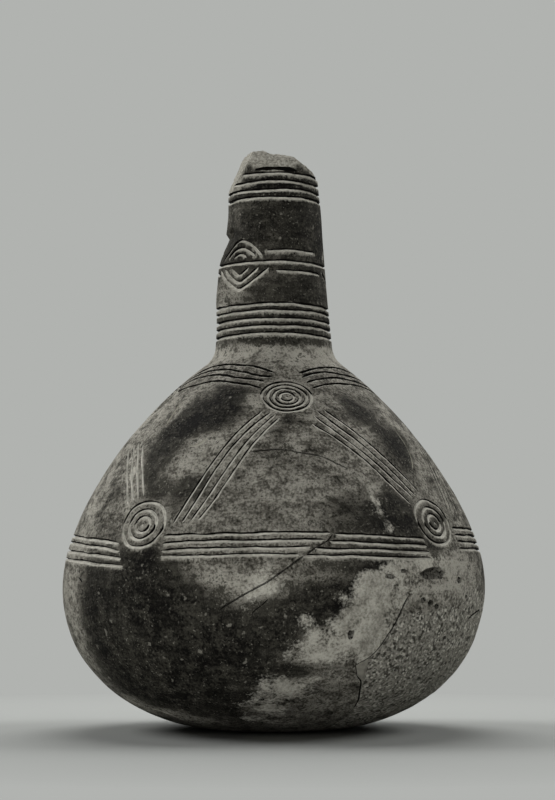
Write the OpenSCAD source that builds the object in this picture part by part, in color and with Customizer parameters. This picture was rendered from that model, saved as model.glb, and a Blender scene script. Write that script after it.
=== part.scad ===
// Hand-built earthenware bottle vase with a tapering neck, a broken mouth and
// incised bands, stripes and ringed discs filled with white lime paste.
// Millimetres. +Z is up, the origin is the middle of the resting face, and the
// front of the vase looks along -Y. An azimuth is counted in degrees from the
// front, positive towards +X.

/* [Body] */
// Greatest radius of the belly
belly_r = 88; // [84:0.5:94]
// Height of the widest level above the resting face
belly_z = 58.7; // [57:0.1:62]
// Radius of the round belly in section, from the widest level up
belly_arc_r = 54.5; // [50:0.5:56]
// How far above the resting face the round of the lower belly would end if it ran on
base_rise = 4.2; // [3:0.1:6]
// Angle above the widest level where the round belly turns into the shoulder
shoulder_start = 22.8; // [20:0.2:25]
// Radius of the long shoulder in section
shoulder_arc_r = 176; // [165:1:190]
// Radius of the flat resting face
base_flat_r = 20; // [14:0.5:26]
// Thickness of the pottery wall
wall = 6.5; // [5:0.1:7.5]

/* [Neck] */
// Height of what is left of the vase, up to the highest point of the break
height = 240; // [230:1:250]
// Height of the step where the neck sits on the luting collar
neck_z = 160; // [158:0.5:164]
// Radius of the neck at that step
neck_base_r = 24.4; // [23:0.1:26]
// Lean of the neck wall from the upright
neck_taper = 5.4; // [4:0.1:6]
// Radius of the hollow curve between shoulder and neck
neck_fillet_r = 10; // [7:0.5:12]
// Height of the rim of the body that carries the neck and the collar
rim_z = 151; // [149:0.5:152.5]
// Radius of the tenon at the foot of the neck
tenon_r = 22; // [21.2:0.1:22.8]

/* [Incised lines] */
// Width of a cut line
groove_w = 1.4; // [1:0.1:1.8]
// Depth of a cut line
groove_d = 0.9; // [0.7:0.1:1.2]
// How much shallower the rings are cut than the lines
ring_rise = 0.1; // [0.05:0.05:0.2]
// Distance between the lines of a band or stripe, along the surface
line_pitch = 3; // [2.6:0.1:3.4]
// Depth of the lime paste below the surface of the pot
inlay_recess = 0.3; // [0.1:0.05:0.45]
// Azimuth of the upper disc on the front
pattern_turn = 6.4; // [-20:0.2:20]

/* [Bands] */
// Lines in the band round the waist
waist_lines = 4; // [2:1:5]
// Height of the top line of the waist band
waist_band_z = 80.3; // [77:0.1:82]
// Half of the bare gap that the waist band leaves at each waist disc, in degrees
waist_gap = 8; // [7:0.5:12]
// Lines in the band round the shoulder
shoulder_lines = 4; // [2:1:4]
// Height of the top line of the shoulder band
shoulder_band_z = 148.2; // [145:0.1:149]
// Half of the bare gap that the shoulder band leaves at each upper disc, in degrees
shoulder_gap = 10; // [8:0.5:16]
// Lines in the band at the foot of the neck
neck_base_lines = 5; // [3:1:5]
// Height of the top line of that band above the step at the foot of the neck
neck_base_rise = 14.6; // [13:0.2:16]
// Share of the neck that lies below the line round its middle
neck_middle_share = 0.402; // [0.36:0.01:0.44]
// Distance from the middle line to the short lines above and below it
neck_middle_pitch = 4; // [3:0.1:5]
// Lines in the band under the broken mouth
neck_top_lines = 4; // [2:1:4]
// Drop from the highest point of the break to the top line of that band
neck_top_drop = 11; // [9:0.2:14]

/* [Discs and stripes] */
// Rings in an upper disc
upper_disc_rings = 4; // [2:1:5]
// Rings in a waist disc
waist_disc_rings = 3; // [2:1:5]
// Radius of the outermost ring of a disc
disc_r = 9.8; // [8:0.2:11]
// Height of the middle of the upper discs
upper_disc_z = 135; // [132:0.2:137]
// Height of the middle of the waist discs
waist_disc_z = 84.6; // [82:0.2:88]
// Drop from the middle of an upper disc to the tops of its stripes
stripe_top_drop = 6.5; // [5:0.1:9]
// Drop from the middle of a waist disc to the foot of the stripe on its right
left_foot_drop = 0.3; // [0:0.1:3]
// Rise from the middle of a waist disc to the foot of the stripe on its left
right_foot_rise = 9.4; // [8:0.1:12]
// Lines in a stripe
stripe_lines = 4; // [2:1:5]
// Rings in a lozenge on the neck
lozenge_rings = 3; // [2:1:4]
// Radius of the outermost ring of a lozenge
lozenge_r = 9.6; // [7:0.2:10.5]
// Azimuth of the lozenge on the front of the neck
lozenge_turn = -40; // [-60:1:-20]
// Angle from the lozenge on the front to the one on the right
lozenge_step = 140; // [100:1:150]

/* [Joins] */
// Width of the join between two sherds
join_gap = 0.2; // [0.1:0.05:0.5]
// Play between the neck tenon and the luting collar
tenon_play = 0.2; // [0.1:0.05:0.5]
// Play between the lime paste and the cut line that holds it
inlay_play = 0.05; // [0.02:0.01:0.1]

/* [Hidden] */
$fn = 96;
ARC_STEP = 5;
FRONT = -90;
REPEATS = 4;
TURN = 360 / REPEATS;
LOZENGES = 3;
SIDES = ["front", "right", "back", "left"];
CORNERS = ["front_right", "back_right", "back_left", "front_left"];
BURNISHED = [0.16, 0.16, 0.14];
FADED = [0.38, 0.38, 0.36];
GRITTY = [0.33, 0.33, 0.31];
LIME = [0.72, 0.72, 0.69];
PLASTER = [0.55, 0.55, 0.53];

// How far a cutting tool stands proud of what it cuts
past = 3;
// Reach of the prisms that divide the sherds, past the belly
reach = belly_r + past;

// Heights of the lines on the neck
neck_base_band_z = neck_z + neck_base_rise;
neck_middle_z = neck_z + neck_middle_share * (height - neck_z);
neck_top_band_z = height - neck_top_drop;

// Section of the vase: centres and meeting points of its arcs, as [radius, height]
function unit(a) = [cos(a), sin(a)];
belly_c = [belly_r - belly_arc_r, belly_z];
lower_arc_r = belly_z - base_rise;
lower_c = [belly_r - lower_arc_r, belly_z];
shoulder_c = belly_c + (belly_arc_r - shoulder_arc_r) * unit(shoulder_start);
shoulder_from = belly_c + belly_arc_r * unit(shoulder_start);
neck_out = unit(neck_taper);
neck_up = [-neck_out.y, neck_out.x];
neck_line = neck_out * [neck_base_r, neck_z];

// The hollow curve touches the neck line and the shoulder arc from outside
fillet_foot = neck_out * (neck_line + neck_fillet_r);
fillet_half = neck_up * (fillet_foot - shoulder_c);
fillet_rest = (fillet_foot - shoulder_c) * (fillet_foot - shoulder_c)
    - pow(shoulder_arc_r + neck_fillet_r, 2);
fillet_c = fillet_foot + neck_up * (sqrt(pow(fillet_half, 2) - fillet_rest) - fillet_half);
shoulder_end = atan2(fillet_c.y - shoulder_c.y, fillet_c.x - shoulder_c.x);

// The base arc rises from the resting face and runs into the belly
base_reach = lower_c.x - base_flat_r;
base_arc_r = (pow(base_reach, 2) + pow(lower_c.y, 2) - pow(lower_arc_r, 2)) / (2 * base_rise);
base_c = [base_flat_r, base_arc_r];
base_end = atan2(lower_c.y - base_c.y, lower_c.x - base_c.x);

// Angles along an arc of radius r, and the points of the arc
function arc_angles(r, from, to) =
    let (steps = max(2, ceil(abs(to - from) / ARC_STEP * sqrt(r / belly_arc_r))))
    [for (i = [0:steps]) from + (to - from) * i / steps];
function arc(c, r, from, to) = [for (a = arc_angles(r, from, to)) c + r * unit(a)];

// Points of the belly taken in by inset, on its lower round below the widest level
function belly_arc(inset) = [for (a = arc_angles(belly_arc_r - inset, base_end, shoulder_start))
    a < 0 ? lower_c + (lower_arc_r - inset) * unit(a) : belly_c + (belly_arc_r - inset) * unit(a)];

// Radius of the neck at height z, with the surface taken in by inset
function neck_r(z, inset = 0) = (neck_line - inset - z * neck_out.y) / neck_out.x;

// Outline from the resting face to height z on the neck, taken in by inset
function outline(inset, z) = concat(
    arc(base_c, base_arc_r - inset, FRONT, base_end),
    belly_arc(inset),
    arc(shoulder_c, shoulder_arc_r - inset, shoulder_start, shoulder_end),
    arc(fillet_c, neck_fillet_r + inset, shoulder_end + 180, neck_taper + 180),
    [[neck_r(z, inset), z]]);

// Radius of the surface at height z, and how far its normal leans up
function skin_r(z) =
    z < belly_z ? lower_c.x + sqrt(pow(lower_arc_r, 2) - pow(z - lower_c.y, 2))
    : z < shoulder_from.y ? belly_c.x + sqrt(pow(belly_arc_r, 2) - pow(z - belly_c.y, 2))
    : z < rim_z ? shoulder_c.x + sqrt(pow(shoulder_arc_r, 2) - pow(z - shoulder_c.y, 2))
    : neck_r(z);
function skin_lean(z) =
    z < belly_z ? asin((z - lower_c.y) / lower_arc_r)
    : z < shoulder_from.y ? asin((z - belly_c.y) / belly_arc_r)
    : z < rim_z ? asin((z - shoulder_c.y) / shoulder_arc_r)
    : neck_taper;
function skin_point(az, z) = [skin_r(z) * sin(az), -skin_r(z) * cos(az), z];
function skin_normal(az, z) =
    let (lean = skin_lean(z))
    [cos(lean) * sin(az), -cos(lean) * cos(az), sin(lean)];

// Height of line i of a band whose top line is at z
function band_line_z(z, i) = z - i * line_pitch * cos(skin_lean(z));

// Solid vase, taken in by inset, up to height z
module vase_solid(inset, z = height) {
    rotate_extrude()
        polygon(concat([[0, inset]], outline(inset, z), [[0, z]]));
}

// Wall of the vase between two heights and two radii, as a section
module wall_section(from_z, to_z, from_r = 0, to_r = reach) {
    intersection() {
        difference() {
            polygon(concat([[0, 0]], outline(0, height), [[0, height]]));
            polygon(concat([[0, wall]], outline(wall, height + past), [[0, height + past]]));
        }
        translate([from_r, from_z])
            square([to_r - from_r, to_z - from_z]);
    }
}

// Part of a ring cut by a line at height z, between depths top and floor below the surface
module line_section(z, width, top, floor) {
    translate([skin_r(z), z])
        rotate(skin_lean(z))
            translate([-floor, -width / 2])
                square([floor - top, width]);
}

module line_arc(z, from_az, to_az, width, top, floor) {
    rotate([0, 0, from_az + FRONT])
        rotate_extrude(angle = to_az - from_az)
            line_section(z, width, top, floor);
}

module at_skin(az, z) {
    rotate([0, 0, az + FRONT])
        translate([skin_r(z), 0, z])
            rotate([0, 90 - skin_lean(z), 0])
                children();
}

// Solid cone that touches the surface at height z, taken in by inset, as long as a disc needs
module skin_cone(z, inset) {
    rise = [-sin(skin_lean(z)), cos(skin_lean(z))] * disc_r * 1.6;
    touch = [skin_r(z), z] - inset * unit(skin_lean(z));
    low = touch - rise;
    high = touch + rise;
    rotate_extrude()
        polygon([[0, low.y], low, high, [0, high.y]]);
}

module tube(r, width, h) {
    difference() {
        cylinder(r = r + width / 2, h = h, center = true);
        cylinder(r = r - width / 2, h = h + past, center = true);
    }
}

// Rings round a point of the surface, with or without a dot in the middle
module rings(az, z, count, outer_r, width, dot) {
    pitch = outer_r / (count + 0.3);
    h = disc_r * 0.8;
    at_skin(az, z) {
        for (i = [0:count - 1])
            tube(outer_r - i * pitch, width, h);
        if (dot)
            cylinder(r = width / 2, h = h, center = true);
    }
}

// Straight plates that cut a stripe from an upper point to a lower one, as [azimuth, height]
module stripe_plates(top, bottom, width) {
    from = skin_point(top.x, top.y);
    to = skin_point(bottom.x, bottom.y);
    middle = (top + bottom) / 2;
    along = (to - from) / norm(to - from);
    side_raw = cross(skin_normal(middle.x, middle.y), along);
    side = side_raw / norm(side_raw);
    out = cross(along, side);
    length = norm(to - from);
    rise = length / 6;
    multmatrix([for (i = [0:2]) [along[i], side[i], out[i], from[i]]])
        for (i = [0:stripe_lines - 1])
            translate([0, (i - (stripe_lines - 1) / 2) * line_pitch - width / 2, -past])
                cube([length, width, rise + past]);
}

// Places of the pattern
function upper_az(i) = pattern_turn + i * TURN;
function waist_az(i) = upper_az(i) + TURN / 2;
stripe_top_z = upper_disc_z - stripe_top_drop;
left_stripe_top_az = -10;
left_stripe_foot = [-31.4, waist_disc_z - left_foot_drop];
right_stripe_top_az = 11.5;
right_stripe_foot = [41, waist_disc_z + right_foot_rise];

module left_stripe_plates(i, width) {
    stripe_plates([upper_az(i) + left_stripe_top_az, stripe_top_z],
        [upper_az(i), 0] + left_stripe_foot, width);
}

module right_stripe_plates(i, width) {
    stripe_plates([upper_az(i) + right_stripe_top_az, stripe_top_z],
        [upper_az(i), 0] + right_stripe_foot, width);
}

module waist_band_arcs(i, width, top, floor) {
    for (n = [0:waist_lines - 1])
        line_arc(band_line_z(waist_band_z, n), waist_az(i - 1) + waist_gap, waist_az(i) - waist_gap,
            width, top, floor);
}

module shoulder_band_arcs(i, width, top, floor) {
    for (n = [0:shoulder_lines - 1])
        line_arc(band_line_z(shoulder_band_z, n), upper_az(i) + shoulder_gap, upper_az(i + 1) - shoulder_gap,
            width, top, floor);
}

module neck_rings(z, count, width, top, floor) {
    rotate_extrude()
        for (n = [0:count - 1])
            line_section(band_line_z(z, n), width, top, floor);
}

// Angle that half a lozenge covers on the neck
lozenge_half = asin(lozenge_r / skin_r(neck_middle_z)) + 4;
// Azimuths of the lozenges: those that don't show share out what the first step leaves of the round
function lozenge_az(i) = lozenge_turn
    + (i == 0 ? 0 : lozenge_step + (i - 1) * (360 - lozenge_step) / (LOZENGES - 1));

module neck_middle_arcs(width, top, floor) {
    neck_rings(neck_middle_z, 1, width, top, floor);
    for (i = [0:LOZENGES - 1], side = [-1, 1])
        line_arc(neck_middle_z + side * neck_middle_pitch, lozenge_az(i) + lozenge_half,
            lozenge_az(i + 1) - lozenge_half, width, top, floor);
}

// Tools that cut the rings and the lines
module ring_grooves(az, z, count, outer_r, dot = true) {
    difference() {
        rings(az, z, count, outer_r, groove_w, dot);
        skin_cone(z, groove_d - ring_rise);
    }
}

module body_grooves() {
    for (i = [0:REPEATS - 1]) {
        waist_band_arcs(i, groove_w, -past, groove_d);
        shoulder_band_arcs(i, groove_w, -past, groove_d);
    }
    difference() {
        for (i = [0:REPEATS - 1]) {
            left_stripe_plates(i, groove_w);
            right_stripe_plates(i, groove_w);
        }
        vase_solid(groove_d);
    }
    for (i = [0:REPEATS - 1]) {
        ring_grooves(upper_az(i), upper_disc_z, upper_disc_rings, disc_r);
        ring_grooves(waist_az(i), waist_disc_z, waist_disc_rings, disc_r);
    }
}

module neck_grooves() {
    neck_rings(neck_base_band_z, neck_base_lines, groove_w, -past, groove_d);
    neck_rings(neck_top_band_z, neck_top_lines, groove_w, -past, groove_d);
    neck_middle_arcs(groove_w, -past, groove_d);
    for (i = [0:LOZENGES - 1])
        ring_grooves(lozenge_az(i), neck_middle_z, lozenge_rings, lozenge_r, dot = false);
}

// Lime paste in stripes and rings
inlay_w = groove_w - 2 * inlay_play;
inlay_floor = groove_d - inlay_play;
module stripe_paste() {
    color(LIME)
        difference() {
            intersection() {
                children();
                vase_solid(inlay_recess);
            }
            vase_solid(inlay_floor);
        }
}

module ring_paste(az, z, count, outer_r, dot = true) {
    color(LIME)
        difference() {
            intersection() {
                rings(az, z, count, outer_r, inlay_w, dot);
                skin_cone(z, inlay_recess);
            }
            skin_cone(z, inlay_floor - ring_rise);
        }
}

// Break at the mouth: each facet is a plane, as the azimuth that it falls towards, its slope, and
// a point on it given by its distance from the axis and its height from the top
BREAK = [
    [0, 45, 10.5, -1.2],
    [90, 14, -1.5, -0.4],
    [90, 37, 8.3, -3.1],
    [90, 50, 15.6, -8.6],
    [-80, 64, 13, -5],
    [180, 20, 10, 0],
];
module broken_off() {
    for (facet = BREAK)
        rotate([0, 0, facet[0] + FRONT])
            translate([facet[2], 0, height + facet[3]])
                rotate([0, facet[1], 0])
                    translate([-reach / 2, -reach / 2, 0])
                        cube([reach, reach, reach]);
}

// Outlines of the sherds on the front, as [azimuth, height above the top line of the waist band in
// hundredths of the belly's radius]
PANEL_TOP = [[-9, 36.8], [0, 38], [5, 37.7], [9, 36.6], [16, 35.1], [23, 30.8], [26.5, 27.5], [29, 23.9]];
PANEL_RIGHT = [[30, 16.4], [31.7, 10.1], [34, 3.2]];
PANEL_FOOT = [[34.5, 1.6], [-21.5, 1.6]];
PANEL_LEFT = [[-18, 10.1], [-13.5, 22]];
FRONT_TOP = [[16, 1.6], [34.5, 1.6], [36.5, -8.6], [40, -18.9]];
JOIN_RIGHT = [[36.7, -28], [35, -33.8], [33, -40.9], [31, -46.8], [29.3, -51.6], [27.1, -55.1]];
JOIN_CHIP = [[23.8, -58.1], [25.3, -62.8], [27.8, -65.7]];
CHIP_BACK = [[27.7, -60.6]];
JOIN_FOOT = [[29.5, -71.1], [32, -76.2]];
FRONT_FOOT = [[33, -80.2], [-20, -80.2]];
FRONT_LEFT = [[-18, -63.2], [-17, -46.1], [-14.1, -33.4], [-9.6, -28.5], [-3.8, -22.8], [0, -19.3],
    [6.8, -10.6], [9.6, -7.5], [14.3, -3.1]];
CORNER_TOP = [[70, -34.8], [56, -31.4], [44, -26.8]];
CORNER_FOOT = [[33, -80.2]];
CORNER_SIDE = [-80.2, -33.6];
// How far the corner sherd runs past the side of the vase, to the back
corner_back = 8;

function last(list) = list[len(list) - 1];
function sherd_z(rise) = waist_band_z + rise * belly_r / 100;
function on_front(points) = [for (p = points) let (z = sherd_z(p.y)) [skin_r(z) * sin(p.x), z]];
panel_outline = on_front(concat(PANEL_TOP, PANEL_RIGHT, PANEL_FOOT, PANEL_LEFT));
front_outline = on_front(concat(FRONT_TOP, JOIN_RIGHT, JOIN_CHIP, JOIN_FOOT, FRONT_FOOT, FRONT_LEFT));
chip_outline = on_front(concat([last(JOIN_RIGHT)], JOIN_CHIP, CHIP_BACK));
corner_outline = concat(
    on_front(concat(JOIN_RIGHT, CHIP_BACK, [last(JOIN_CHIP)], JOIN_FOOT, CORNER_FOOT)),
    [for (rise = CORNER_SIDE) [reach, sherd_z(rise)]],
    on_front(CORNER_TOP));

// Prism seen from the front as an outline, grown by grow on every side
module front_prism(points, grow, back = 0) {
    translate([0, back + grow, 0])
        rotate([90, 0, 0])
            linear_extrude(reach + back)
                offset(delta = grow)
                    polygon(points);
}

module sherd_prisms(grow) {
    front_prism(panel_outline, grow);
    front_prism(front_outline, grow);
    front_prism(chip_outline, grow);
    front_prism(corner_outline, grow, corner_back);
}

// Gaps between the sherds, where the paste is broken too
module join_gaps() {
    difference() {
        sherd_prisms(join_gap / 2);
        sherd_prisms(-join_gap / 2);
    }
}

module body_wall() {
    rotate_extrude()
        wall_section(0, rim_z);
}

module body() {
    color(BURNISHED)
        difference() {
            body_wall();
            body_grooves();
            sherd_prisms(join_gap / 2);
        }
}

module luting_collar() {
    color(FADED)
        rotate_extrude()
            wall_section(rim_z, neck_z, tenon_r + tenon_play);
}

module neck() {
    color(BURNISHED)
        difference() {
            rotate_extrude() {
                wall_section(neck_z, height);
                wall_section(rim_z, neck_z, 0, tenon_r);
            }
            neck_grooves();
            broken_off();
        }
}

module front_panel_sherd() {
    color(FADED)
        intersection() {
            body_wall();
            front_prism(panel_outline, -join_gap / 2);
        }
}

module lower_front_sherd() {
    color(BURNISHED)
        difference() {
            intersection() {
                body_wall();
                front_prism(front_outline, -join_gap / 2);
            }
            waist_band_arcs(0, groove_w, -past, groove_d);
        }
}

module gap_fill() {
    color(PLASTER)
        intersection() {
            body_wall();
            front_prism(chip_outline, -join_gap / 2);
        }
}

module lower_right_sherd() {
    color(GRITTY)
        intersection() {
            body_wall();
            front_prism(corner_outline, -join_gap / 2, corner_back);
        }
}

module neck_top_band_inlay() {
    color(LIME)
        difference() {
            neck_rings(neck_top_band_z, neck_top_lines, inlay_w, inlay_recess, inlay_floor);
            broken_off();
        }
}

module neck_middle_band_inlay() {
    color(LIME)
        neck_middle_arcs(inlay_w, inlay_recess, inlay_floor);
}

module neck_base_band_inlay() {
    color(LIME)
        neck_rings(neck_base_band_z, neck_base_lines, inlay_w, inlay_recess, inlay_floor);
}

module neck_lozenge_inlay(i) {
    difference() {
        ring_paste(lozenge_az(i), neck_middle_z, lozenge_rings, lozenge_r, dot = false);
        neck_middle_arcs(groove_w, -past, groove_d);
        neck_rings(neck_base_band_z, neck_base_lines, groove_w, -past, groove_d);
        neck_rings(neck_top_band_z, neck_top_lines, groove_w, -past, groove_d);
    }
}

module shoulder_band_inlay(i) {
    color(LIME)
        shoulder_band_arcs(i, inlay_w, inlay_recess, inlay_floor);
}

module waist_band_inlay(i) {
    color(LIME)
        difference() {
            waist_band_arcs(i, inlay_w, inlay_recess, inlay_floor);
            if (i == 0)
                join_gaps();
        }
}

module upper_disc_inlay(i) {
    ring_paste(upper_az(i), upper_disc_z, upper_disc_rings, disc_r);
}

module waist_disc_inlay(i) {
    ring_paste(waist_az(i), waist_disc_z, waist_disc_rings, disc_r);
}

module left_stripe_inlay(i) {
    stripe_paste()
        left_stripe_plates(i, inlay_w);
}

module right_stripe_inlay(i) {
    stripe_paste()
        right_stripe_plates(i, inlay_w);
}

function each_place(name, places) = [for (place = places) str(name, "_", place)];
LOZENGE_PLACES = ["front", "right", "back"];
NODES = concat(
    ["body", "luting_collar", "neck"],
    ["front_panel_sherd", "lower_front_sherd", "gap_fill", "lower_right_sherd"],
    ["neck_top_band_inlay", "neck_middle_band_inlay", "neck_base_band_inlay"],
    each_place("neck_lozenge_inlay", LOZENGE_PLACES),
    each_place("shoulder_band_inlay", CORNERS),
    each_place("upper_disc_inlay", SIDES),
    each_place("left_stripe_inlay", SIDES),
    each_place("right_stripe_inlay", SIDES),
    each_place("waist_disc_inlay", CORNERS),
    each_place("waist_band_inlay", SIDES));
node = "all";

function shown(name) = node == "all" || node == name;
if (shown("body")) body();
if (shown("luting_collar")) luting_collar();
if (shown("neck")) neck();
if (shown("front_panel_sherd")) front_panel_sherd();
if (shown("lower_front_sherd")) lower_front_sherd();
if (shown("gap_fill")) gap_fill();
if (shown("lower_right_sherd")) lower_right_sherd();
if (shown("neck_top_band_inlay")) neck_top_band_inlay();
if (shown("neck_middle_band_inlay")) neck_middle_band_inlay();
if (shown("neck_base_band_inlay")) neck_base_band_inlay();
for (i = [0:LOZENGES - 1])
    if (shown(str("neck_lozenge_inlay_", LOZENGE_PLACES[i]))) neck_lozenge_inlay(i);
for (i = [0:REPEATS - 1]) {
    if (shown(str("shoulder_band_inlay_", CORNERS[i]))) shoulder_band_inlay(i);
    if (shown(str("upper_disc_inlay_", SIDES[i]))) upper_disc_inlay(i);
    if (shown(str("left_stripe_inlay_", SIDES[i]))) left_stripe_inlay(i);
    if (shown(str("right_stripe_inlay_", SIDES[i]))) right_stripe_inlay(i);
    if (shown(str("waist_disc_inlay_", CORNERS[i]))) waist_disc_inlay(i);
    if (shown(str("waist_band_inlay_", SIDES[i]))) waist_band_inlay(i);
}
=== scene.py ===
from functools import partial
from math import atan2, ceil, cos, degrees, dist, hypot, pi, radians, sin, sqrt, tan

import bpy
import numpy as np
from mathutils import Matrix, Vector, noise
from mathutils.bvhtree import BVHTree
from mathutils.kdtree import KDTree


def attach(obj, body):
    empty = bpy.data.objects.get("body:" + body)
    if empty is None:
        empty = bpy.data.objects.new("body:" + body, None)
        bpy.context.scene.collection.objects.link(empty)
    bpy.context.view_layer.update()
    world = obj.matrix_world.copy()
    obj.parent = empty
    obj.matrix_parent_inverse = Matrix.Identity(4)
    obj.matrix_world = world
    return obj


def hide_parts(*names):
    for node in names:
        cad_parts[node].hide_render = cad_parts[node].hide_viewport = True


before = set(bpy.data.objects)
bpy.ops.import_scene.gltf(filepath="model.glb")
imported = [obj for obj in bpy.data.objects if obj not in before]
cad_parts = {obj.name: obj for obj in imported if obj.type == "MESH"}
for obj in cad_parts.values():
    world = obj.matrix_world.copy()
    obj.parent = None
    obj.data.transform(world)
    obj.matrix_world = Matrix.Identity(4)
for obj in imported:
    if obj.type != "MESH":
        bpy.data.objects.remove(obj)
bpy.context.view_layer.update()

# Sizes of the vase in millimetres, the same as in the part's source
MM = 0.001
HEIGHT = 240.0
BELLY_R = 88.0
BELLY_Z = 58.7
BELLY_ARC_R = 54.5
SHOULDER_START = 22.8
SHOULDER_ARC_R = 176.0
BASE_FLAT_R = 20.0
WALL = 6.5
NECK_Z = 160.0
NECK_BASE_R = 24.4
NECK_TAPER = 5.4
FILLET_R = 10.0
RIM_Z = 151.0
TENON_R = 22.0

# How far the cutting tools go from the axis, at the belly and the neck, and past the mouth and the rim
REACH = 96.0
NECK_REACH = 40.0
OVER = 10.0
CAVITY_OVER = 6.0
# How far from the axis the rays start that find the skin
RAY_START = 116.0

# Fineness of the clay skin, and of the hollow in it: distance of the rows, number of steps round the axis
ROW = 1.9
STEPS = 340
CAVITY_ROW = 6.0
CAVITY_STEPS = 96
# Faces that meet at less than this angle are shaded as one
SMOOTH_ANGLE = 38

# Cut lines: half widths, and how deep the middle of the cut is sunk
LINE_R = 0.85
LINE_SINK = 0.32
STRIPE_R = 0.72
NECK_LINE_R = 0.9
RING_R = 0.8
RING_SINK = 0.15
CRACK_R = 0.34
CRACK_SINK = 0.14
SCRATCH_R = 0.5
SCRATCH_SINK = 0.15
# A stroke: distance of its points, how far it strays, how thin its ends are and how soon they swell
STROKE_STEP = 1.6
TREMBLE = 0.28
STROKE_END = 0.45
END_RUN = 3
# The bands are listed by the height of their bright lips, this far under the middle of the cut
LIP = 0.6
# Paste lines the lower wall: thickness at the floor and at the lip, and the share of its lift by which the
# tool that takes the rest out is wider
PASTE_FLOOR = 0.1
PASTE_LIP = 0.34
ROOM_SWELL = 0.05
# How dark the painted shade is on the floor of a chip, 0 to 1
CHIP_SHADE = 0.36

SIDES = ["front", "right", "back", "left"]
CORNERS = ["front_right", "back_right", "back_left", "front_left"]


# Section of the vase

def unit(angle):
    return np.array([cos(radians(angle)), sin(radians(angle))])


belly_c = np.array([BELLY_R - BELLY_ARC_R, BELLY_Z])
shoulder_c = belly_c + (BELLY_ARC_R - SHOULDER_ARC_R) * unit(SHOULDER_START)
neck_out = unit(NECK_TAPER)
neck_up = np.array([-neck_out[1], neck_out[0]])
neck_line = neck_out @ np.array([NECK_BASE_R, NECK_Z])
fillet_foot = neck_out * (neck_line + FILLET_R)
fillet_half = neck_up @ (fillet_foot - shoulder_c)
fillet_rest = (fillet_foot - shoulder_c) @ (fillet_foot - shoulder_c) - (SHOULDER_ARC_R + FILLET_R) ** 2
fillet_c = fillet_foot + neck_up * (sqrt(fillet_half ** 2 - fillet_rest) - fillet_half)
shoulder_end = degrees(atan2(*(fillet_c - shoulder_c)[::-1]))
base_reach = belly_c[0] - BASE_FLAT_R
base_arc_r = (base_reach ** 2 + BELLY_Z ** 2 - BELLY_ARC_R ** 2) / (2 * (BELLY_Z - BELLY_ARC_R))
base_c = np.array([BASE_FLAT_R, base_arc_r])
base_end = degrees(atan2(*(belly_c - base_c)[::-1]))


def arc(centre, radius, start, end, step):
    count = max(2, ceil(radians(abs(end - start)) * abs(radius) / step))
    return [centre + radius * unit(start + (end - start) * i / count) for i in range(count + 1)]


def section(inset, top, step):
    """Half section of the vase, taken in by inset, from the axis at the base to the axis at the top."""
    points = [np.array([r, inset]) for r in np.arange(0, BASE_FLAT_R, step)]
    points += arc(base_c, base_arc_r - inset, -90, base_end, step)
    points += arc(belly_c, BELLY_ARC_R - inset, base_end, SHOULDER_START, step)[1:]
    points += arc(shoulder_c, SHOULDER_ARC_R - inset, SHOULDER_START, shoulder_end, step)[1:]
    points += arc(fillet_c, FILLET_R + inset, shoulder_end + 180, NECK_TAPER + 180, step)[1:]
    rows = ceil((top - points[-1][1]) / step)
    for z in np.linspace(points[-1][1], top, rows + 1)[1:]:
        points.append(np.array([(neck_line - inset - z * neck_out[1]) / neck_out[0], z]))
    points.append(np.array([0.0, top]))
    return points


profile = np.array(section(0, HEIGHT, 1.0)[:-1])


def skin_r(z):
    return float(np.interp(z, profile[:, 1], profile[:, 0]))


# Making and shaping

def deselect():
    bpy.ops.object.select_all(action="DESELECT")


def activate(obj):
    deselect()
    obj.select_set(True)
    bpy.context.view_layer.objects.active = obj


def modified(obj, kind, **settings):
    """Add a modifier, set it and apply it."""
    activate(obj)
    modifier = obj.modifiers.new(kind.lower(), kind)
    for name, value in settings.items():
        setattr(modifier, name, value)
    bpy.ops.object.modifier_apply(modifier=modifier.name)
    return obj


def cut(obj, tool, operation="DIFFERENCE"):
    return modified(obj, "BOOLEAN", object=tool, operation=operation, solver="MANIFOLD")


def placed(name, data):
    obj = bpy.data.objects.new(name, data)
    bpy.context.collection.objects.link(obj)
    return obj


def copied(obj, name):
    return placed(name, obj.data.copy())


def primitive(operator, name, **settings):
    """A new mesh object from one of the operators that add a mesh."""
    deselect()
    operator(**settings)
    obj = bpy.context.object
    obj.name = name
    return obj


def removed(*objects):
    for obj in objects:
        bpy.data.objects.remove(obj, do_unlink=True)


def edit_all():
    """Start to edit the active mesh, with all of it selected."""
    bpy.ops.object.mode_set(mode="EDIT")
    bpy.ops.mesh.select_all(action="SELECT")


def faced_out(weld=0.0):
    """Stop editing, with double vertices welded and all faces turned outward."""
    bpy.ops.mesh.select_all(action="SELECT")
    if weld:
        bpy.ops.mesh.remove_doubles(threshold=weld * MM)
    bpy.ops.mesh.normals_make_consistent(inside=False)
    bpy.ops.object.mode_set(mode="OBJECT")


def spun(name, points, steps):
    """A solid of revolution: one vertex is drawn out along the half section and spun round the axis."""
    obj = primitive(bpy.ops.mesh.primitive_circle_add, name, vertices=3, radius=MM, location=(0, 0, 0))
    edit_all()
    bpy.ops.mesh.merge(type="CENTER")
    places = [Vector((0, -r, z)) * MM for r, z in points]
    bpy.ops.transform.translate(value=places[0])
    for here, there in zip(places, places[1:]):
        bpy.ops.mesh.extrude_vertices_move(TRANSFORM_OT_translate={"value": there - here})
    bpy.ops.mesh.select_all(action="SELECT")
    bpy.ops.mesh.spin(steps=steps, angle=2 * pi, center=(0, 0, 0), axis=(0, 0, 1))
    faced_out(weld=0.005)
    return obj


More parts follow.
